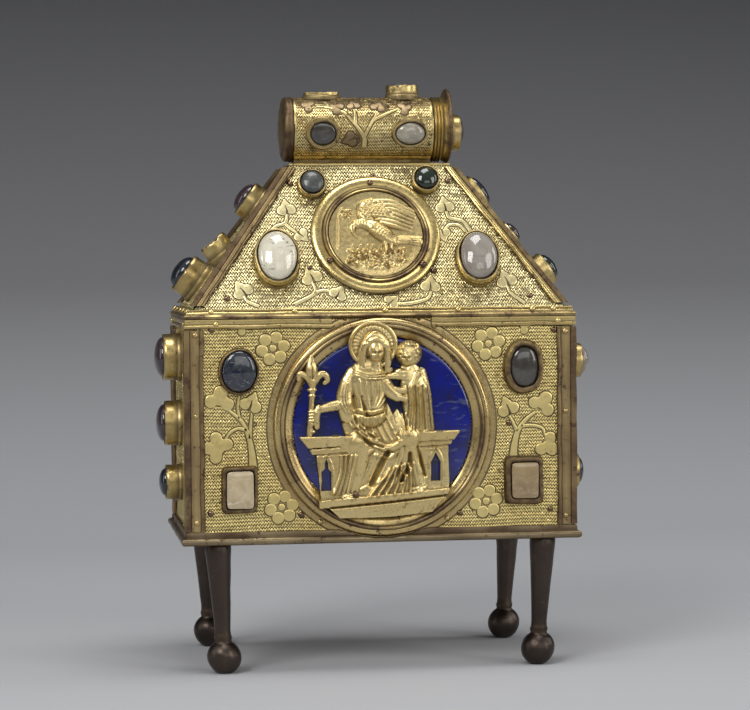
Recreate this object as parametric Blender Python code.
"""Purse reliquary: a gilt copper casket with a hipped roof, a ridge tube and four turned legs.

Metres, +Z up, origin on the floor under the middle of the casket. The front, with the
enamelled medallion, faces -Y. The casket, the roof and the tube are hollow.
"""

from collections import namedtuple
from math import acos, atan2, cos, hypot, pi, radians, sin, sqrt

import bmesh
import bpy
from mathutils import Matrix, Vector

# Casket and roof
BODY_WIDTH = 0.127
BODY_DEPTH = 0.067
BODY_HEIGHT = 0.0741
LEG_HEIGHT = 0.0423
ROOF_HEIGHT = 0.0507
RIDGE_LENGTH = 0.054
RIDGE_DEPTH = 0.017
PANEL_SHEET = 0.002
BASE_SHEET = 0.0016
SEAT_SHEET = 0.0010
GAP = 0.0003

# Edge strips
STRIP_SHEET = 0.0012
CORNER_ARM = 0.0053
HIP_ARM = 0.0027
EAVES_WALL_ARM = 0.0039
EAVES_ROOF_ARM = 0.0027
MOULDING_HEIGHT = 0.0043
MOULDING_REACH = 0.0024

# Front medallion
RING_EAVES_DROP = 0.0004
RING_BASE_RISE = 0.0018
RING_WIDTH = 0.0062
RING_HEIGHT = 0.0029
RING_BEAD = 0.0012
RING_BEAD_INSET = 0.0023
ENAMEL_SHEET = 0.0012
RELIEF_HEIGHT = 0.0055

# Eagle medallion on the roof
EAGLE_RADIUS = 0.0217
EAGLE_RING_WIDTH = 0.0058
EAGLE_RING_HEIGHT = 0.0022
EAGLE_SHEET = 0.0012
EAGLE_RELIEF = 0.0012
EAGLE_PLACE = 0.52

# Ridge tube, its end cap and its lid
TUBE_RADIUS = 0.0109
TUBE_WALL = 0.0012
TUBE_LEFT = 0.0254
TUBE_RIGHT = 0.0216
TUBE_CLEARANCE = 0.0009
CRADLE_HEIGHT = 0.0038
CAP_THICKNESS = 0.0030
CAP_DOME = 0.0011
CAP_LIP = 0.0003
PLUG_DEPTH = 0.0045
PLUG_WALL = 0.0010
LID_LENGTH = 0.0060
LID_BEAD = 0.0009
LID_RIM_REACH = 0.0018
LID_RIM_LIFT = 0.0012
LID_END_SHEET = 0.0012

# Legs
LEG_BALL_RADIUS = 0.0057
LEG_NECK_RADIUS = 0.0026
LEG_TOP_RADIUS = 0.0045
LEG_FLAT_RADIUS = 0.0022
LEG_TOP_INSET_X = 0.0093
LEG_SPLAY = 0.0022
LEG_INSET_Y = 0.0035

# Castings: how far their shapes run past the back plane, in their own units, and a
# small shift from shape to shape that keeps their faces from lying in one plane
RELIEF_BACK = -0.8
RELIEF_SHIFT = 0.005

# Back boss
BOSS_RADIUS = 0.013
BOSS_RISE = 0.0070

# Roundness
LEG_SIDES = 10
COLLET_SIDES = 10
RING_SIDES = 36
EAGLE_SIDES = 28
TUBE_SIDES = 20
BOSS_SIDES = 16
LIMB_SIDES = 6

# Levels and half sizes that follow from the driving sizes
HALF_WIDTH = BODY_WIDTH / 2
HALF_DEPTH = BODY_DEPTH / 2
HALF_RIDGE = RIDGE_LENGTH / 2
HALF_RIDGE_DEPTH = RIDGE_DEPTH / 2
EAVES = LEG_HEIGHT + BODY_HEIGHT
ROOF_TOP = EAVES + ROOF_HEIGHT
STRIP_FACE = GAP + STRIP_SHEET
TUBE_AXIS = ROOF_TOP + TUBE_CLEARANCE + TUBE_RADIUS
BORE_RADIUS = TUBE_RADIUS - TUBE_WALL
SIDE_TURNS = {"front": 0, "right_end": 90, "back": 180, "left_end": 270}

Stone = namedtuple("Stone", "name shape half_u half_v wall rise dome colour")
Stone.__doc__ = "One setting: collet half sizes, wall and rise, and how far its stone domes above the rim."

# Colours: base colour, roughness, metallic
FINISHES = {
    "gilt": ((0.80, 0.60, 0.22), 0.35, 1.0),
    "gilt_bright": ((0.86, 0.70, 0.28), 0.32, 1.0),
    "worn_copper": ((0.36, 0.25, 0.16), 0.50, 1.0),
    "dark_bronze": ((0.09, 0.07, 0.06), 0.45, 0.9),
    "enamel_blue": ((0.01, 0.03, 0.42), 0.12, 0.0),
    "sapphire": ((0.05, 0.07, 0.14), 0.15, 0.0),
    "rock_crystal": ((0.78, 0.76, 0.70), 0.06, 0.0),
    "grey_crystal": ((0.52, 0.48, 0.44), 0.08, 0.0),
    "smoky_stone": ((0.10, 0.07, 0.06), 0.10, 0.0),
    "cream_stone": ((0.66, 0.52, 0.32), 0.22, 0.0),
    "honey_stone": ((0.52, 0.34, 0.16), 0.20, 0.0),
    "blue_grey_stone": ((0.13, 0.15, 0.16), 0.20, 0.0),
    "green_stone": ((0.06, 0.11, 0.05), 0.10, 0.0),
    "purple_stone": ((0.16, 0.06, 0.08), 0.12, 0.0),
    "dark_blue_stone": ((0.03, 0.05, 0.10), 0.08, 0.0),
}


def clear_scene():
    """Remove every object that is in the scene."""
    for item in list(bpy.data.objects):
        bpy.data.objects.remove(item, do_unlink=True)


def finish(name):
    """Return the Principled material of that name, made once."""
    if name in bpy.data.materials:
        return bpy.data.materials[name]
    colour, roughness, metallic = FINISHES[name]
    made = bpy.data.materials.new(name)
    made.use_nodes = True
    shader = made.node_tree.nodes["Principled BSDF"]
    shader.inputs["Base Color"].default_value = (*colour, 1.0)
    shader.inputs["Roughness"].default_value = roughness
    shader.inputs["Metallic"].default_value = metallic
    return made


def solid(name, loops, look, place=None, closed_ring=False):
    """Skin a list of equal loops into one closed body.

    The first and last loops are filled, or joined to each other when closed_ring is set.
    place is the matrix that carries the points into the world.
    """
    mesh = bmesh.new()
    rows = [[mesh.verts.new(point) for point in loop] for loop in loops]
    pairs = list(zip(rows, rows[1:]))
    if closed_ring:
        pairs.append((rows[-1], rows[0]))
    for low, high in pairs:
        for index in range(len(low)):
            after = (index + 1) % len(low)
            mesh.faces.new((low[index], low[after], high[after], high[index]))
    if not closed_ring:
        mesh.faces.new(rows[0])
        mesh.faces.new(rows[-1])
    if place is not None:
        mesh.transform(place)
    bmesh.ops.recalc_face_normals(mesh, faces=mesh.faces)
    data = bpy.data.meshes.new(name)
    mesh.to_mesh(data)
    mesh.free()
    made = bpy.data.objects.new(name, data)
    made.data.materials.append(finish(look))
    bpy.context.scene.collection.objects.link(made)
    return made


def combine(body, tools, operation):
    """Apply one exact Boolean for each tool to the body, and remove the tools."""
    for tool in tools:
        change = body.modifiers.new(operation, "BOOLEAN")
        change.operation = operation
        change.solver = "EXACT"
        change.object = tool
        bpy.context.view_layer.update()
        graph = bpy.context.evaluated_depsgraph_get()
        data = bpy.data.meshes.new_from_object(body.evaluated_get(graph))
        body.modifiers.clear()
        body.data = data
        bpy.data.objects.remove(tool, do_unlink=True)
    while len(body.data.materials) > 1:
        body.data.materials.pop()
    return body


def fuse(body, tools):
    """Join the tools to the body as one solid."""
    return combine(body, tools, "UNION")


def carve(body, tools):
    """Cut the tools out of the body."""
    return combine(body, tools, "DIFFERENCE")


def smooth(item, angle=40):
    """Shade a round piece smooth, with edges sharper than the angle kept."""
    item.data.shade_smooth()
    item.data.set_sharp_from_angle(angle=radians(angle))
    return item


def oval(half_u, half_v, height, sides=COLLET_SIDES, middle=(0.0, 0.0)):
    """Return one oval loop at a height above its face."""
    turns = [2 * pi * index / sides for index in range(sides)]
    return [(middle[0] + half_u * cos(turn), middle[1] + half_v * sin(turn), height) for turn in turns]


def box_loop(half_u, half_v, height, corner=0.0012):
    """Return one rectangular loop with a small flat across each corner."""
    cut = min(corner, 0.4 * half_u, 0.4 * half_v)
    arc = [(half_u, half_v - cut), (half_u - cut, half_v)]
    points = arc + [(-u, v) for u, v in reversed(arc)]
    points += [(-u, -v) for u, v in points]
    return [(u, v, height) for u, v in points]


def shape_loop(shape, half_u, half_v, height):
    """Return the loop of a setting's own shape."""
    if shape == "box":
        return box_loop(half_u, half_v, height)
    return oval(half_u, half_v, height)


def turned(name, profile, look, place, sides):
    """Revolve (radius, height) points about the local normal and close both ends."""
    return smooth(solid(name, [oval(r, r, h, sides) for r, h in profile], look, place))


def ring_solid(name, profile, look, place, sides):
    """Revolve a closed (radius, height) section into a ring."""
    return smooth(solid(name, [oval(r, r, h, sides) for r, h in profile], look, place, True))


def face_frame(origin, across, up):
    """Return the matrix of a face: its first axis across, its second up, its third outward."""
    across = Vector(across).normalized()
    up = Vector(up).normalized()
    matrix = Matrix((across, up, across.cross(up))).transposed().to_4x4()
    matrix.translation = Vector(origin)
    return matrix


def turn(side):
    """Return the rotation that carries the front's geometry to a side."""
    return Matrix.Rotation(radians(SIDE_TURNS[side]), 4, "Z")


def side_halves(side):
    """Return a side's half length and its distance out, at the eaves and at the ridge."""
    if side in ("front", "back"):
        return HALF_WIDTH, HALF_DEPTH, HALF_RIDGE, HALF_RIDGE_DEPTH
    return HALF_DEPTH, HALF_WIDTH, HALF_RIDGE_DEPTH, HALF_RIDGE


def slope_length(side):
    """Return the length of a roof face, measured up its middle."""
    _, out, _, ridge_out = side_halves(side)
    return hypot(out - ridge_out, ROOF_HEIGHT)


def wall_frame(side, height):
    """Return the frame of a wall at its middle, at a height above the floor."""
    _, out, _, _ = side_halves(side)
    return turn(side) @ face_frame((0, -out, height), (1, 0, 0), (0, 0, 1))


def roof_frame(side):
    """Return the frame of a roof face, with its origin at the middle of the eaves."""
    _, out, _, ridge_out = side_halves(side)
    return turn(side) @ face_frame((0, -out, EAVES), (1, 0, 0), (0, out - ridge_out, ROOF_HEIGHT))


def roof_half_length(side, along_slope):
    """Return half the length of a roof face at a distance up its slope, inside the hip strips."""
    half, _, ridge_half, _ = side_halves(side)
    length = slope_length(side)
    hip_turn = atan2(half - ridge_half, length)
    return half + (ridge_half - half) * along_slope / length - HIP_ARM / cos(hip_turn)


def ring_radius():
    """Return the medallion's outer radius: as tall as the wall, clear of the corner stones."""
    by_height = (BODY_HEIGHT - RING_EAVES_DROP - RING_BASE_RISE) / 2
    column = 2 * max(stone.half_u for stone in CORNER_STONES.values()) + 4 * GAP
    by_width = HALF_WIDTH - CORNER_ARM - column
    return min(by_height, by_width)


def ring_height():
    """Return the height of the medallion's centre above the floor."""
    return (LEG_HEIGHT + RING_BASE_RISE + EAVES - RING_EAVES_DROP) / 2


def wall_panels():
    """Make the four walls, the ends between the front and the back."""
    made = {}
    for side in SIDE_TURNS:
        half, out, _, _ = side_halves(side)
        if side.endswith("end"):
            half = half - PANEL_SHEET - GAP
        loops = []
        for height in (LEG_HEIGHT, EAVES):
            corners = ((-half, -out), (half, -out), (half, PANEL_SHEET - out), (-half, PANEL_SHEET - out))
            loops.append([(x, y, height) for x, y in corners])
        made[side] = solid(side + "_panel", loops, "gilt", turn(side))
    return made


def roof_panels():
    """Make the four sloping faces, mitred at the hips with a gap."""
    made = {}
    thick = {side: PANEL_SHEET * slope_length(side) / ROOF_HEIGHT for side in ("front", "left_end")}
    for side in SIDE_TURNS:
        half, out, ridge_half, ridge_out = side_halves(side)
        across = "left_end" if side in ("front", "back") else "front"
        along = "front" if across == "left_end" else "left_end"
        loops = []
        for height in (EAVES + GAP, ROOF_TOP - SEAT_SHEET - GAP):
            share = (height - EAVES) / ROOF_HEIGHT
            x = half + (ridge_half - half) * share - GAP
            y = out + (ridge_out - out) * share
            inner_x = x - thick[across]
            inner_y = y - thick[along]
            corners = ((-x, -y), (x, -y), (inner_x, -inner_y), (-inner_x, -inner_y))
            loops.append([(u, v, height) for u, v in corners])
        name = "roof_" + side.replace("_end", "") + "_panel"
        made[side] = solid(name, loops, "gilt_bright", turn(side))
    return made


def base_plate():
    """Make the casket's floor, between the walls."""
    x = HALF_WIDTH - PANEL_SHEET - GAP
    y = HALF_DEPTH - PANEL_SHEET - GAP
    corners = ((-x, -y), (x, -y), (x, y), (-x, y))
    levels = (LEG_HEIGHT, LEG_HEIGHT + BASE_SHEET)
    return solid("base_plate", [[(u, v, z) for u, v in corners] for z in levels], "worn_copper")


def angle_section(down_a, out_a, arm_a, down_b, out_b, arm_b):
    """Return the section of a folded strip about an edge, as offsets from that edge.

    Each face has a direction away from the edge, an outward direction and the strip's arm on it.
    """
    fold = (out_a + out_b) / (1 + out_a.dot(out_b))
    lip = 0.5 * STRIP_SHEET
    face = STRIP_FACE
    section = [GAP * fold]
    section += [arm_a * down_a + GAP * out_a, arm_a * down_a + (face - lip) * out_a]
    section += [(arm_a - lip) * down_a + face * out_a, lip * down_a + face * out_a]
    section += [(face - 0.25 * lip) * fold]
    section += [lip * down_b + face * out_b, (arm_b - lip) * down_b + face * out_b]
    section += [arm_b * down_b + (face - lip) * out_b, arm_b * down_b + GAP * out_b]
    return section


def cut_to_planes(name, edge_point, direction, section, planes, look, place=None):
    """Run a section along an edge between two planes, each a point and a normal."""
    loops = []
    for plane_point, normal in planes:
        loop = []
        for offset in section:
            start = edge_point + offset
            reach = (plane_point - start).dot(normal) / direction.dot(normal)
            loop.append(start + reach * direction)
        loops.append(loop)
    return solid(name, loops, look, place)


def corner_strips():
    """Make the four upright strips folded around the casket's corners."""
    made = []
    low = LEG_HEIGHT + MOULDING_HEIGHT + GAP
    high = EAVES - EAVES_WALL_ARM - GAP
    upward = Vector((0, 0, 1))
    for end, sign_x in (("left", -1), ("right", 1)):
        for face, sign_y in (("front", -1), ("back", 1)):
            away_x = Vector((-sign_x, 0, 0))
            away_y = Vector((0, -sign_y, 0))
            section = angle_section(away_x, -away_y, CORNER_ARM, away_y, -away_x, CORNER_ARM)
            edge = Vector((sign_x * HALF_WIDTH, sign_y * HALF_DEPTH, 0))
            planes = [(Vector((0, 0, level)), upward) for level in (low, high)]
            name = f"corner_strip_{face}_{end}"
            made.append(cut_to_planes(name, edge, upward, section, planes, "worn_copper"))
    return made


def hip_strips():
    """Make the four strips folded over the hips of the roof."""
    made = []
    upward = Vector((0, 0, 1))
    eaves_run = hypot(HALF_DEPTH - HALF_RIDGE_DEPTH, ROOF_HEIGHT)
    low = EAVES + (EAVES_ROOF_ARM + STRIP_SHEET) * ROOF_HEIGHT / eaves_run + GAP
    high = ROOF_TOP - SEAT_SHEET - GAP
    for end, sign_x in (("left", -1), ("right", 1)):
        for face, sign_y in (("front", -1), ("back", 1)):
            foot = Vector((sign_x * HALF_WIDTH, sign_y * HALF_DEPTH, EAVES))
            head = Vector((sign_x * HALF_RIDGE, sign_y * HALF_RIDGE_DEPTH, ROOF_TOP))
            along = (head - foot).normalized()
            out_front = Vector((0, sign_y * ROOF_HEIGHT, HALF_DEPTH - HALF_RIDGE_DEPTH)).normalized()
            out_end = Vector((sign_x * ROOF_HEIGHT, 0, HALF_WIDTH - HALF_RIDGE)).normalized()
            away_front = along.cross(out_front)
            away_front = away_front if away_front.x * sign_x < 0 else -away_front
            away_end = along.cross(out_end)
            away_end = away_end if away_end.y * sign_y < 0 else -away_end
            section = angle_section(away_front, out_front, HIP_ARM, away_end, out_end, HIP_ARM)
            planes = [(Vector((0, 0, level)), upward) for level in (low, high)]
            name = f"hip_strip_{face}_{end}"
            made.append(cut_to_planes(name, foot, along, section, planes, "worn_copper"))
    return made


def mitre_planes(side):
    """Return the two upright planes that mitre a side's strip at the casket's corners."""
    half, out, _, _ = side_halves(side)
    return [(Vector((sign * half, -out, 0)), Vector((1, sign, 0))) for sign in (-1, 1)]


def eaves_strips():
    """Make the strips folded along the eaves, from the wall onto the roof."""
    made = {}
    for side in SIDE_TURNS:
        _, out, _, ridge_out = side_halves(side)
        up_slope = Vector((0, out - ridge_out, ROOF_HEIGHT)).normalized()
        out_slope = Vector((0, -ROOF_HEIGHT, out - ridge_out)).normalized()
        wall = (Vector((0, 0, -1)), Vector((0, -1, 0)), EAVES_WALL_ARM)
        section = angle_section(*wall, up_slope, out_slope, EAVES_ROOF_ARM)
        edge = Vector((0, -out, EAVES))
        name = "eaves_strip_" + side.replace("_end", "")
        planes = mitre_planes(side)
        made[side] = cut_to_planes(name, edge, Vector((1, 0, 0)), section, planes, "gilt", turn(side))
    return made


def base_mouldings():
    """Make the half-round mouldings around the casket's foot."""
    made = {}
    reach = MOULDING_REACH
    tall = MOULDING_HEIGHT
    outline = [(0, 0), (0.6, 0), (1.0, 0.24), (1.0, 0.50), (0.66, 0.74), (0.42, 0.82), (0.42, 1.0), (0, 1.0)]
    for side in SIDE_TURNS:
        _, out, _, _ = side_halves(side)
        section = [Vector((0, -GAP - share_out * reach, share_up * tall)) for share_out, share_up in outline]
        edge = Vector((0, -out, LEG_HEIGHT))
        name = "base_moulding_" + side.replace("_end", "")
        planes = mitre_planes(side)
        made[side] = cut_to_planes(name, edge, Vector((1, 0, 0)), section, planes, "gilt", turn(side))
    return made


def legs():
    """Make the four turned legs, each a ball foot under a tapering shaft."""
    made = []
    top = LEG_HEIGHT - GAP
    ball_turns = 6
    start = -acos(LEG_FLAT_RADIUS / LEG_BALL_RADIUS)
    finish_turn = acos(LEG_NECK_RADIUS / LEG_BALL_RADIUS)
    ball_height = -LEG_BALL_RADIUS * sin(start)
    profile = []
    for index in range(ball_turns + 1):
        angle = start + (finish_turn - start) * index / ball_turns
        profile.append((LEG_BALL_RADIUS * cos(angle), ball_height + LEG_BALL_RADIUS * sin(angle)))
    neck_height = profile[-1][1]
    for share in (0.06, 0.5, 0.94):
        radius = LEG_NECK_RADIUS + (LEG_TOP_RADIUS - LEG_NECK_RADIUS) * share
        profile.append((radius, neck_height + (top - neck_height) * share))
    profile.append((0.94 * LEG_TOP_RADIUS, top))
    for end, sign_x in (("left", -1), ("right", 1)):
        for face, sign_y in (("front", -1), ("back", 1)):
            top_x = sign_x * (HALF_WIDTH - LEG_TOP_INSET_X)
            y = sign_y * (HALF_DEPTH - LEG_INSET_Y)
            loops = []
            for radius, height in profile:
                lean = -sign_x * LEG_SPLAY * (1 - height / top)
                loops.append(oval(radius, radius, height, LEG_SIDES, (top_x + lean, y)))
            made.append(smooth(solid(f"leg_{face}_{end}", loops, "dark_bronze")))
    return made


def collet(stone, place, sink, crumple=0.0, name="collet"):
    """Make a stone's setting: a drum with a recess, its rim bent where it is crumpled."""
    skirt = 0.35 * stone.wall
    rim = stone.wall * 0.45
    floor = stone.rise * 0.35
    steps = [(skirt, -sink), (skirt, 0.25 * stone.rise), (0.0, 0.45 * stone.rise), (-0.2 * rim, stone.rise)]
    steps += [(-stone.wall, stone.rise), (-stone.wall, floor)]
    loops = []
    for grow, height in steps:
        loop = shape_loop(stone.shape, stone.half_u + grow, stone.half_v + grow, height)
        if crumple and height == stone.rise:
            bent = []
            for index, (u, v, h) in enumerate(loop):
                wave = sin(2.3 * index) * crumple
                bent.append((u * (1 + 0.5 * wave), v * (1 + 0.3 * wave), h * (1 - abs(wave) * 2.5)))
            loop = bent
        loops.append(loop)
    return solid(name, loops, "gilt", place)


def cabochon(stone, place):
    """Make a stone with rounded shoulders that sits in its setting with a gap."""
    half_u = stone.half_u - stone.wall - GAP
    half_v = stone.half_v - stone.wall - GAP
    foot = stone.rise * 0.35 + GAP
    rim = stone.rise
    levels = [(0.94, foot), (1.0, rim), (0.78, rim + 0.66 * stone.dome), (0.36, rim + stone.dome)]
    loops = [shape_loop(stone.shape, share * half_u, share * half_v, height) for share, height in levels]
    return smooth(solid(stone.name, loops, stone.colour, place))


def set_stone(carrier, stone, place, sink, crumple=0.0, empty=False):
    """Fuse a collet to its carrier and seat its stone, unless the stone is lost."""
    fuse(carrier, [collet(stone, place, sink, crumple)])
    if not empty:
        cabochon(stone, place)


def at(frame, u, v, h=0.0, tilt=None):
    """Return a frame moved across, up and out of its face, and tilted if asked."""
    moved = frame @ Matrix.Translation((u, v, h))
    return moved @ tilt if tilt is not None else moved


CORNER_STONES = {
    ("left", "high"): Stone("front_sapphire", "oval", 0.0065, 0.0079, 0.0007, 0.0032, 0.0014, "sapphire"),
    ("left", "low"): Stone("front_cream_stone", "box", 0.0057, 0.0074, 0.0010, 0.0030, 0.0006, "cream_stone"),
    ("right", "high"): Stone("front_smoky_stone", "oval", 0.0064, 0.0088, 0.0016, 0.0036, 0.0002, "smoky_stone"),
    ("right", "low"): Stone("front_honey_stone", "box", 0.0062, 0.0076, 0.0014, 0.0030, 0.0006, "honey_stone"),
}
CORNER_SHARES = {("left", "high"): 0.763, ("left", "low"): 0.243, ("right", "high"): 0.768, ("right", "low"): 0.262}
RIM_CRUMPLE = {("right", "high"): 0.10}

ROOF_FRONT_STONES = {
    (-1, 0.360): Stone("roof_crystal_left", "oval", 0.0076, 0.0104, 0.0009, 0.0040, 0.0034, "rock_crystal"),
    (1, 0.352): Stone("roof_crystal_right", "oval", 0.0073, 0.0101, 0.0009, 0.0040, 0.0034, "grey_crystal"),
    (-1, 0.850): Stone("roof_round_stone", "oval", 0.0048, 0.0053, 0.0007, 0.0030, 0.0016, "blue_grey_stone"),
    (1, 0.875): Stone("roof_green_stone", "oval", 0.0047, 0.0052, 0.0007, 0.0030, 0.0018, "green_stone"),
}

TUBE_STONES = (
    (0.200, -9.5, Stone("tube_dark_stone", "oval", 0.0057, 0.0054, 0.0012, 0.0016, 0.0002, "smoky_stone")),
    (0.826, -9.5, Stone("tube_crystal", "oval", 0.0060, 0.0049, 0.0008, 0.0018, 0.0012, "rock_crystal")),
    (0.804, 90.0, Stone("tube_top_stone", "oval", 0.0056, 0.0054, 0.0010, 0.0034, 0.0008, "smoky_stone")),
)
TUBE_EMPTY = (0.214, 90.0, Stone("tube_empty_collet", "oval", 0.0062, 0.0050, 0.0009, 0.0018, 0.0, "gilt"))
LID_STONE = Stone("lid_stone", "oval", 0.0066, 0.0066, 0.0012, 0.0044, 0.0016, "smoky_stone")

LEFT_END_STONES = (
    (0.0, 0.812, Stone("left_end_stone_top", "oval", 0.0080, 0.0083, 0.0010, 0.0062, 0.0028, "purple_stone")),
    (0.0, 0.513, Stone("left_end_stone_middle", "oval", 0.0076, 0.0079, 0.0010, 0.0060, 0.0026, "purple_stone")),
    (0.0, 0.244, Stone("left_end_stone_bottom", "oval", 0.0060, 0.0061, 0.0009, 0.0056, 0.0022, "dark_blue_stone")),
)
RIGHT_END_STONES = (
    (-0.56, 0.785, Stone("right_end_stone_top", "oval", 0.0056, 0.0060, 0.0009, 0.0062, 0.0028, "grey_crystal")),
    (-0.56, 0.285, Stone("right_end_stone_bottom", "oval", 0.0056, 0.0060, 0.0009, 0.0050, 0.0020, "dark_blue_stone")),
)
ROOF_LEFT_STONES = (
    (0.00, 0.720, Stone("roof_left_stone_top", "oval", 0.0060, 0.0067, 0.0009, 0.0052, 0.0026, "purple_stone")),
    (-0.36, 0.205, Stone("roof_left_stone_bottom", "oval", 0.0064, 0.0073, 0.0009, 0.0072, 0.0032, "dark_blue_stone")),
)
ROOF_LEFT_EMPTY = (0.24, 0.395, Stone("roof_left_collet", "oval", 0.0034, 0.0050, 0.0009, 0.0064, 0.0, "gilt"))
ROOF_RIGHT_STONES = (
    (-0.10, 0.770, Stone("roof_right_stone_top", "oval", 0.0060, 0.0070, 0.0009, 0.0040, 0.0022, "dark_blue_stone")),
    (-0.42, 0.490, Stone("roof_right_stone_middle", "oval", 0.0044, 0.0050, 0.0008, 0.0038, 0.0020, "purple_stone")),
    (-0.52, 0.235, Stone("roof_right_stone_bottom", "oval", 0.0056, 0.0062, 0.0009, 0.0060, 0.0026, "green_stone")),
)


def dress_front(panel):
    """Set the four corner stones of the front, midway between the ring and the corner strips."""
    column = (ring_radius() + HALF_WIDTH - CORNER_ARM) / 2
    for key, stone in CORNER_STONES.items():
        side = -1 if key[0] == "left" else 1
        height = LEG_HEIGHT + CORNER_SHARES[key] * BODY_HEIGHT
        place = at(wall_frame("front", height), side * column, 0)
        set_stone(panel, stone, place, PANEL_SHEET / 2, RIM_CRUMPLE.get(key, 0.0))


def dress_back(panel):
    """Fuse a plain domed boss to the middle of the back."""
    steps = 4
    profile = [(BOSS_RADIUS, -PANEL_SHEET / 2), (BOSS_RADIUS, 0.1 * BOSS_RISE)]
    for index in range(1, steps + 1):
        angle = 0.5 * pi * (index / steps) ** 0.9 * 0.93
        profile.append((0.88 * BOSS_RADIUS * cos(angle), BOSS_RISE * (0.1 + 0.9 * sin(angle) / sin(0.93 * pi / 2))))
    boss = turned("boss", profile, "gilt", wall_frame("back", ring_height()), BOSS_SIDES)
    fuse(panel, [boss])


def dress_roof_front(panel):
    """Set the roof's front stones midway between the eagle's ring and the hip strips."""
    frame = roof_frame("front")
    length = slope_length("front")
    for (side, share), stone in ROOF_FRONT_STONES.items():
        up = share * length
        ring_reach = sqrt(max(EAGLE_RADIUS ** 2 - (up - EAGLE_PLACE * length) ** 2, 0.0))
        across = side * (ring_reach + roof_half_length("front", up)) / 2
        set_stone(panel, stone, at(frame, across, up), PANEL_SHEET / 2)


def dress_walls(panels):
    """Set the end walls' tall settings; a place is a share of the half depth and of the height."""
    for side, stones in (("left_end", LEFT_END_STONES), ("right_end", RIGHT_END_STONES)):
        for across, share, stone in stones:
            frame = wall_frame(side, LEG_HEIGHT + share * BODY_HEIGHT)
            set_stone(panels[side], stone, at(frame, across * HALF_DEPTH, 0), PANEL_SHEET / 2)


def dress_roof_ends(panels):
    """Set the stones of the roof's ends; a place is a share of the face's half length and slope."""
    for side, stones in (("left_end", ROOF_LEFT_STONES), ("right_end", ROOF_RIGHT_STONES)):
        length = slope_length(side)
        for across, share, stone in stones:
            reach = across * roof_half_length(side, share * length)
            set_stone(panels[side], stone, at(roof_frame(side), reach, share * length), PANEL_SHEET / 2)
    across, share, stone = ROOF_LEFT_EMPTY
    length = slope_length("left_end")
    reach = across * roof_half_length("left_end", share * length)
    lean = Matrix.Rotation(radians(-14), 4, "X")
    place = at(roof_frame("left_end"), reach, share * length, 0, lean)
    set_stone(panels["left_end"], stone, place, PANEL_SHEET / 2, 0.12, True)


def medallion():
    """Make the front ring and the enamelled disc inside it."""
    outer = ring_radius()
    bead_out = outer - RING_BEAD_INSET
    bead_in = bead_out - RING_BEAD
    inner = outer - RING_WIDTH
    top = GAP + RING_HEIGHT
    section = [(inner, GAP), (inner, GAP + 0.45 * RING_HEIGHT), (bead_in, GAP + 0.72 * RING_HEIGHT)]
    section += [(bead_in + 0.25 * RING_BEAD, top), (bead_out - 0.25 * RING_BEAD, top)]
    section += [(bead_out, GAP + 0.72 * RING_HEIGHT), (outer - 0.35 * RING_BEAD_INSET, GAP + 0.6 * RING_HEIGHT)]
    section += [(outer, GAP + 0.25 * RING_HEIGHT), (outer, GAP)]
    frame = wall_frame("front", ring_height())
    ring_solid("medallion_ring", section, "gilt", frame, RING_SIDES)
    disc = inner - GAP
    turned("enamel_disc", [(disc, GAP), (disc, GAP + ENAMEL_SHEET)], "enamel_blue", frame, RING_SIDES)


def notch_for_ring(strips):
    """Cut the front's eaves strip and moulding around the medallion ring."""
    frame = wall_frame("front", ring_height())
    for strip in strips:
        radius = ring_radius() + GAP
        reach = 3 * RING_HEIGHT
        cutter = turned("ring_notch", [(radius, 0), (radius, reach)], "gilt", frame, RING_SIDES)
        carve(strip, [cutter])


def limb(points, name="limb", sides=LIMB_SIDES, flat=0.75):
    """Make a tapering roll through (across, up, out, radius) points, its sides straight to the back."""
    loops = []
    for index, (u, v, h, radius) in enumerate(points):
        before = points[max(index - 1, 0)]
        after = points[min(index + 1, len(points) - 1)]
        heading = Vector((after[0] - before[0], after[1] - before[1], 0)).normalized()
        across = Vector((-heading.y, heading.x, 0))
        middle = Vector((u, v, 0))
        loop = [middle + radius * across + Vector((0, 0, RELIEF_BACK))]
        for step in range(sides):
            angle = pi * step / (sides - 1)
            rise = Vector((0, 0, h + flat * radius * sin(angle)))
            loop.append(middle + radius * cos(angle) * across + rise)
        loop.append(middle - radius * across + Vector((0, 0, RELIEF_BACK)))
        loops.append(loop)
    return name, loops


def lump(u, v, h, half_u, half_v, half_h, name="lump", sides=10):
    """Make a rounded mass on straight sides, as oval loops that close towards its top."""
    steps = ((1.0, RELIEF_BACK), (1.0, h), (0.88, h + 0.47 * half_h), (0.60, h + 0.80 * half_h), (0.22, h + half_h))
    return name, [oval(share * half_u, share * half_v, height, sides, (u, v)) for share, height in steps]


def slab(left, right, low, high, out, slant=0.0, name="slab"):
    """Make a straight block that stands out from the back, its right side raised by the slant."""
    corners = ((left, low), (right, low + slant), (right, high + slant), (left, high))
    return name, [[Vector((u, v, h)) for u, v in corners] for h in (RELIEF_BACK, out)]


def lancet(u, low, high, half, name="lancet"):
    """Make the cutter of a pointed window through the bench."""
    spring = low + 0.62 * (high - low)
    outline = ((u - half, low), (u + half, low), (u + half, spring), (u + 0.6 * half, 0.5 * (spring + high)))
    outline += ((u, high), (u - 0.6 * half, 0.5 * (spring + high)), (u - half, spring))
    return name, [[Vector((x, v, h)) for x, v in outline] for h in (-1.5, 9.0)]


def relief_shapes(shapes, place):
    """Make the solids of a casting's shapes, each shifted a little further out than the last."""
    made = []
    for index, (name, loops) in enumerate(shapes):
        shifted = place @ Matrix.Translation((0, 0, RELIEF_SHIFT * index))
        made.append(solid(name, loops, "gilt_bright", shifted))
    return made


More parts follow.
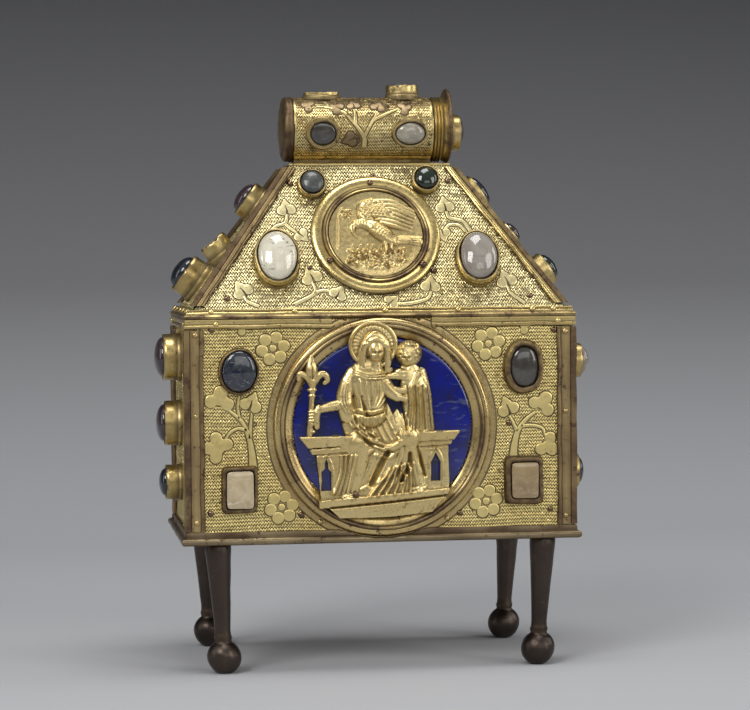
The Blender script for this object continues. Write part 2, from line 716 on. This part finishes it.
def seated_figures():
    """Make the relief of a seated crowned woman with a child, on a bench, as one casting.

    Its points are in thirtieths of the enamel's radius: across, up and out from the
    middle of the enamel.
    """
    inner = ring_radius() - RING_WIDTH
    unit = inner / 30
    out_unit = RELIEF_HEIGHT / 5.5
    place = at(wall_frame("front", ring_height()), 0, 0, 2 * GAP + ENAMEL_SHEET)
    place = place @ Matrix.Diagonal((unit, unit, out_unit, 1))
    shapes = [
        slab(-27.6, -8.0, -6.1, -2.7, 3.2, 0.3, "bench_seat_left"),
        slab(8.0, 24.6, -4.7, -1.8, 3.2, 0.2, "bench_seat_right"),
        slab(-22.8, -9.0, -25.0, -5.6, 2.2, 0.6, "bench_side_left"),
        slab(9.0, 21.6, -22.6, -4.0, 2.2, 0.5, "bench_side_right"),
        slab(-21.6, 22.2, -25.4, -22.4, 3.0, 1.6, "step"),
        slab(-15.0, 20.6, -29.4, -24.6, 2.4, 1.8, "plinth"),
        limb([(-5.3, 20.6, 0.8, 3.6), (-5.3, 17.6, 0.9, 5.6), (-5.0, 11.0, 1.2, 4.4), (-4.6, 5.0, 1.4, 5.0)], "chest"),
        limb([(-4.4, 8.0, 0.6, 4.6), (-3.0, 1.0, 0.8, 8.5), (0.5, -5.0, 0.9, 10.5), (0.0, -13.0, 0.8, 9.8),
              (-0.5, -21.0, 0.6, 11.5), (-0.5, -23.6, 0.5, 12.0)], "skirt", 7, 0.22),
        lump(-7.2, -3.4, 1.2, 4.4, 4.6, 3.6, "left_knee"),
        lump(8.2, -2.8, 1.2, 4.4, 4.4, 3.6, "right_knee"),
        limb([(-7.4, -5.0, 1.4, 3.4), (-9.2, -13.0, 1.2, 2.6), (-11.0, -21.0, 1.0, 2.4), (-12.4, -23.6, 0.8, 1.8)],
             "left_shin"),
        limb([(8.4, -4.5, 1.4, 3.4), (9.2, -12.0, 1.2, 2.6), (10.2, -20.0, 1.0, 2.4), (11.6, -22.8, 0.8, 1.8)],
             "right_shin"),
        limb([(-9.0, 17.8, 1.0, 2.6), (-12.4, 11.6, 1.4, 2.7), (-13.6, 7.6, 1.7, 2.5), (-17.8, 7.7, 2.0, 1.9),
              (-22.6, 8.2, 2.1, 1.4)], "left_arm"),
        limb([(-0.4, 16.8, 1.2, 2.6), (2.0, 11.8, 1.8, 2.4), (4.8, 9.8, 2.6, 1.8), (8.6, 10.4, 3.2, 1.3)],
             "right_arm"),
        limb([(-2.2, 19.0, 1.2, 2.4), (-2.5, 24.0, 1.4, 2.0)], "neck"),
        lump(-2.5, 26.2, 1.4, 2.9, 4.1, 3.9, "head"),
        limb([(-5.9, 18.6, 0.8, 1.9), (-6.1, 23.6, 1.0, 1.6), (-5.2, 28.2, 1.4, 1.6), (-2.6, 30.4, 2.2, 1.7),
              (0.2, 28.2, 1.4, 1.5), (1.1, 23.6, 1.0, 1.5), (0.9, 19.6, 0.8, 1.8)], "veil"),
        limb([(-23.6, -2.0, 1.2, 1.3), (-23.3, 6.0, 1.4, 1.1), (-23.2, 15.0, 1.2, 1.2), (-23.2, 19.0, 1.2, 1.7),
              (-23.3, 23.6, 1.0, 0.7)], "sceptre"),
        limb([(-23.2, 15.0, 1.2, 1.0), (-25.6, 16.2, 1.1, 1.3), (-26.8, 19.2, 1.0, 0.7)], "left_petal"),
        limb([(-23.2, 15.0, 1.2, 1.0), (-20.8, 16.0, 1.1, 1.3), (-19.8, 18.8, 1.0, 0.7)], "right_petal"),
        lump(8.3, 24.4, 1.3, 3.5, 3.9, 3.8, "child_head"),
        limb([(8.6, 21.8, 1.0, 2.0), (9.6, 18.0, 1.0, 4.0), (10.8, 11.0, 1.1, 4.4), (11.6, 3.0, 1.0, 3.9),
              (11.4, -2.0, 0.9, 3.8)], "child_body"),
        limb([(8.0, 17.2, 2.2, 1.5), (4.8, 14.6, 2.6, 1.3), (2.0, 13.4, 2.6, 1.0)], "child_arm"),
    ]
    for index in range(4):
        reach = 3.0 + 2.2 * index
        drop = -6.0 - 3.6 * index
        fold = [(-7.0 + 0.7 * index, drop + reach * 0.8, 2.4, 0.8), (0.4, drop - 1.4, 2.7, 1.1)]
        fold.append((8.0 - 0.5 * index, drop + reach * 0.8, 2.4, 0.8))
        shapes.append(limb(fold, f"lap_fold_{index}", 5))
    for index in range(5):
        foot = -10.0 + 5.0 * index
        fold = [(0.45 * foot - 0.6, -15.0 + abs(foot) * 0.25, 2.2, 0.7), (foot, -22.0, 2.0, 1.0)]
        shapes.append(limb(fold, f"hem_fold_{index}", 5))
    for index in range(3):
        start = -8.0 + 2.9 * index
        fold = [(start, 15.0, 3.9, 0.7), (-5.0 + 0.6 * index, 8.0, 3.9, 0.6)]
        shapes.append(limb(fold, f"bodice_fold_{index}", 5))
    halo = [oval(8.2, 8.2, h, 24, (-3.3, 27.9)) for h in (0.4, 2.3)]
    relief = solid("seated_figures", halo, "gilt_bright", place)
    fuse(relief, relief_shapes(shapes, place))
    windows = [lancet(-19.0, -20.4, -9.4, 1.7), lancet(17.0, -17.6, -8.0, 1.7)]
    carve(relief, [solid(name, loops, "gilt", place) for name, loops in windows])
    clear_ring(relief)
    back = [[(u, v, h) for u, v in ((-60, -60), (60, -60), (60, 60), (-60, 60))] for h in (-30, 0)]
    carve(relief, [solid("back_cut", back, "gilt", place)])
    return smooth(relief, 35)


def clear_ring(relief):
    """Cut the casting's back clear of the medallion ring that it laps over."""
    outer = ring_radius() + GAP
    inner = ring_radius() - RING_WIDTH - GAP
    top = 2 * GAP + RING_HEIGHT
    bead_in = ring_radius() - RING_BEAD_INSET - RING_BEAD
    section = [(inner, 0), (inner, 2 * GAP + 0.45 * RING_HEIGHT), (bead_in - GAP, 2 * GAP + 0.72 * RING_HEIGHT)]
    section += [(bead_in, top), (outer, top), (outer, 0)]
    frame = wall_frame("front", ring_height())
    carve(relief, [ring_solid("ring_clearance", section, "gilt", frame, RING_SIDES)])


def eagle_medallion():
    """Make the roof's ring and its disc with an eagle in low relief."""
    outer = EAGLE_RADIUS
    inner = outer - EAGLE_RING_WIDTH
    tall = EAGLE_RING_HEIGHT
    section = [(inner, GAP), (inner, GAP + 0.7 * tall), (inner + 0.2 * EAGLE_RING_WIDTH, GAP + tall)]
    section += [(inner + 0.35 * EAGLE_RING_WIDTH, GAP + 0.75 * tall), (outer - 0.45 * EAGLE_RING_WIDTH, GAP + 0.95 * tall)]
    section += [(outer - 0.12 * EAGLE_RING_WIDTH, GAP + 0.6 * tall), (outer, GAP + 0.2 * tall), (outer, GAP)]
    frame = at(roof_frame("front"), 0, EAGLE_PLACE * slope_length("front"))
    ring_solid("eagle_ring", section, "gilt_bright", frame, EAGLE_SIDES)
    radius = inner - GAP
    disc = turned("eagle_disc", [(radius, GAP), (radius, GAP + EAGLE_SHEET)], "gilt_bright", frame, EAGLE_SIDES)
    unit = radius / 15.6
    place = at(frame, 0, 0, GAP + EAGLE_SHEET) @ Matrix.Diagonal((unit, unit, EAGLE_RELIEF / 1.6, 1))
    shapes = [
        limb([(-6.8, -1.6, 0.2, 0.5), (-6.2, 1.2, 0.2, 1.5), (-3.6, 1.6, 0.2, 1.9), (0.6, 0.8, 0.3, 2.9),
              (4.6, -1.8, 0.2, 2.3), (7.6, -2.6, 0.2, 1.6), (14.0, -2.8, 0.1, 1.9)], "eagle_body", 6, 0.5),
        limb([(0.6, 1.0, 0.2, 1.8), (-2.6, 6.4, 0.3, 2.6), (-2.0, 11.6, 0.2, 2.0)], "wing_arm", 6, 0.4),
        limb([(2.2, -1.4, 0.2, 1.2), (3.4, -4.6, 0.2, 0.9), (3.4, -7.6, 0.2, 0.8)], "eagle_leg", 5, 0.6),
        limb([(-9.6, -8.4, 0.1, 1.6), (-2.0, -10.6, 0.2, 1.9), (7.6, -9.2, 0.1, 1.6)], "ground", 5, 0.4),
        limb([(-11.6, -6.4, 0.1, 0.7), (-11.6, 1.0, 0.1, 0.6), (-10.0, 6.6, 0.1, 0.9), (-7.8, 9.4, 0.1, 0.6)],
             "tree", 5, 0.5),
    ]
    feathers = 6
    for index in range(feathers):
        share = index / (feathers - 1)
        root = (-2.2 + 3.4 * share, 11.4 - 8.2 * share)
        tip = (13.0 - 3.0 * share, 7.6 - 7.0 * share)
        middle = (0.5 * (root[0] + tip[0]), 0.5 * (root[1] + tip[1]) + 2.4 * (1 - share))
        feather = [(*root, 0.3, 0.8), (*middle, 0.4, 0.9), (*tip, 0.2, 0.5)]
        shapes.append(limb(feather, f"feather_{index}", 4, 0.5))
    fuse(disc, relief_shapes(shapes, place))
    return disc


def tube_frame(share, angle):
    """Return the frame on the tube at a share of its length, turned up from the front."""
    x = -TUBE_LEFT + share * (TUBE_LEFT + TUBE_RIGHT)
    turned_up = radians(angle)
    outward = Vector((0, -cos(turned_up), sin(turned_up)))
    origin = Vector((x, 0, TUBE_AXIS)) + TUBE_RADIUS * outward
    return face_frame(origin, (1, 0, 0), outward.cross(Vector((1, 0, 0))))


def axis_loop(x, radius, lift=0.0, sides=TUBE_SIDES):
    """Return one circle about the tube's axis at a place along it."""
    turns = [2 * pi * (index + 0.5) / sides for index in range(sides)]
    return [(x, radius * cos(angle), TUBE_AXIS + lift + radius * sin(angle)) for angle in turns]


def ridge_tube():
    """Make the tube, its cradle and the seat plate that closes the roof's top as one piece."""
    ends = (-TUBE_LEFT, TUBE_RIGHT)
    tube = solid("ridge_tube", [axis_loop(x, TUBE_RADIUS) for x in ends], "gilt")
    seat_x = HALF_RIDGE + 0.3 * SEAT_SHEET
    seat_y = HALF_RIDGE_DEPTH + 0.3 * SEAT_SHEET
    seat_corners = ((-seat_x, -seat_y), (seat_x, -seat_y), (seat_x, seat_y), (-seat_x, seat_y))
    seat = [[(x, y, z) for x, y in seat_corners] for z in (ROOF_TOP - SEAT_SHEET, ROOF_TOP)]
    foot = min(HALF_RIDGE_DEPTH, 0.78 * TUBE_RADIUS)
    neck = 0.64 * TUBE_RADIUS
    section = ((-foot, ROOF_TOP - SEAT_SHEET / 2), (foot, ROOF_TOP - SEAT_SHEET / 2))
    section += ((neck, ROOF_TOP + CRADLE_HEIGHT), (-neck, ROOF_TOP + CRADLE_HEIGHT))
    inset = 0.5 * GAP
    cradle = [[(x, y, z) for y, z in section] for x in (ends[0] + inset, ends[1] - inset)]
    fuse(tube, [solid("seat", seat, "gilt"), solid("cradle", cradle, "gilt")])
    bore = [axis_loop(x, BORE_RADIUS) for x in (-2 * TUBE_LEFT, 2 * TUBE_RIGHT)]
    sink = TUBE_WALL + 0.0008
    for share, angle, stone in TUBE_STONES:
        set_stone(tube, stone, tube_frame(share, angle), sink)
    share, angle, stone = TUBE_EMPTY
    set_stone(tube, stone, tube_frame(share, angle), sink, 0.14, True)
    carve(tube, [solid("bore", bore, "gilt")])
    return smooth(tube)


def tube_end_cap():
    """Make the cap that plugs the tube's left end."""
    start = -TUBE_LEFT
    plug = BORE_RADIUS - GAP
    rim = TUBE_RADIUS + CAP_LIP
    loops = [axis_loop(start + PLUG_DEPTH, 0.9 * plug), axis_loop(start + 0.8 * PLUG_DEPTH, plug)]
    loops += [axis_loop(start - GAP, plug), axis_loop(start - GAP, rim)]
    loops += [axis_loop(start - GAP - 0.75 * CAP_THICKNESS, rim), axis_loop(start - GAP - CAP_THICKNESS, 0.9 * rim)]
    loops.append(axis_loop(start - GAP - CAP_THICKNESS - CAP_DOME, 0.45 * rim))
    return smooth(solid("tube_end_cap", loops, "worn_copper"))


def tube_lid():
    """Make the lift-off lid: a plug, three ring mouldings and a flared rim around a set stone."""
    start = TUBE_RIGHT + GAP
    plug = BORE_RADIUS - GAP
    end = start + LID_LENGTH
    hollow = plug - PLUG_WALL
    loops = [axis_loop(start - PLUG_DEPTH, hollow), axis_loop(start - PLUG_DEPTH, plug), axis_loop(start, plug)]
    beads = 3
    pitch = 0.18 * LID_LENGTH
    for index in range(beads):
        x = start + index * pitch
        loops.append(axis_loop(x, TUBE_RADIUS - 0.1 * LID_BEAD))
        loops.append(axis_loop(x + 0.5 * pitch, TUBE_RADIUS + 0.4 * LID_BEAD))
    loops.append(axis_loop(start + beads * pitch, TUBE_RADIUS))
    rim = TUBE_RADIUS + LID_RIM_REACH
    loops += [axis_loop(start + 0.82 * LID_LENGTH, rim, LID_RIM_LIFT), axis_loop(end, rim, LID_RIM_LIFT)]
    loops += [axis_loop(end, rim - 0.9 * LID_END_SHEET, LID_RIM_LIFT), axis_loop(end - 0.4 * LID_END_SHEET, 0.85 * plug)]
    lid = solid("tube_lid", loops[1:] + [], "gilt")
    cup = [axis_loop(start - 2 * PLUG_DEPTH, hollow), axis_loop(end - 1.4 * LID_END_SHEET, hollow)]
    place = face_frame((end - 0.4 * LID_END_SHEET, 0, TUBE_AXIS - LID_RIM_LIFT), (0, 1, 0), (0, 0, 1))
    set_stone(lid, LID_STONE, place, 0.4 * LID_END_SHEET)
    carve(lid, [solid("cup", cup, "gilt")])
    return smooth(lid)


def main():
    """Build every piece of the reliquary."""
    clear_scene()
    walls = wall_panels()
    dress_front(walls["front"])
    dress_back(walls["back"])
    dress_walls(walls)
    roofs = roof_panels()
    dress_roof_front(roofs["front"])
    dress_roof_ends(roofs)
    base_plate()
    corner_strips()
    hip_strips()
    eaves = eaves_strips()
    mouldings = base_mouldings()
    notch_for_ring([eaves["front"], mouldings["front"]])
    legs()
    medallion()
    seated_figures()
    eagle_medallion()
    ridge_tube()
    tube_end_cap()
    tube_lid()


main()
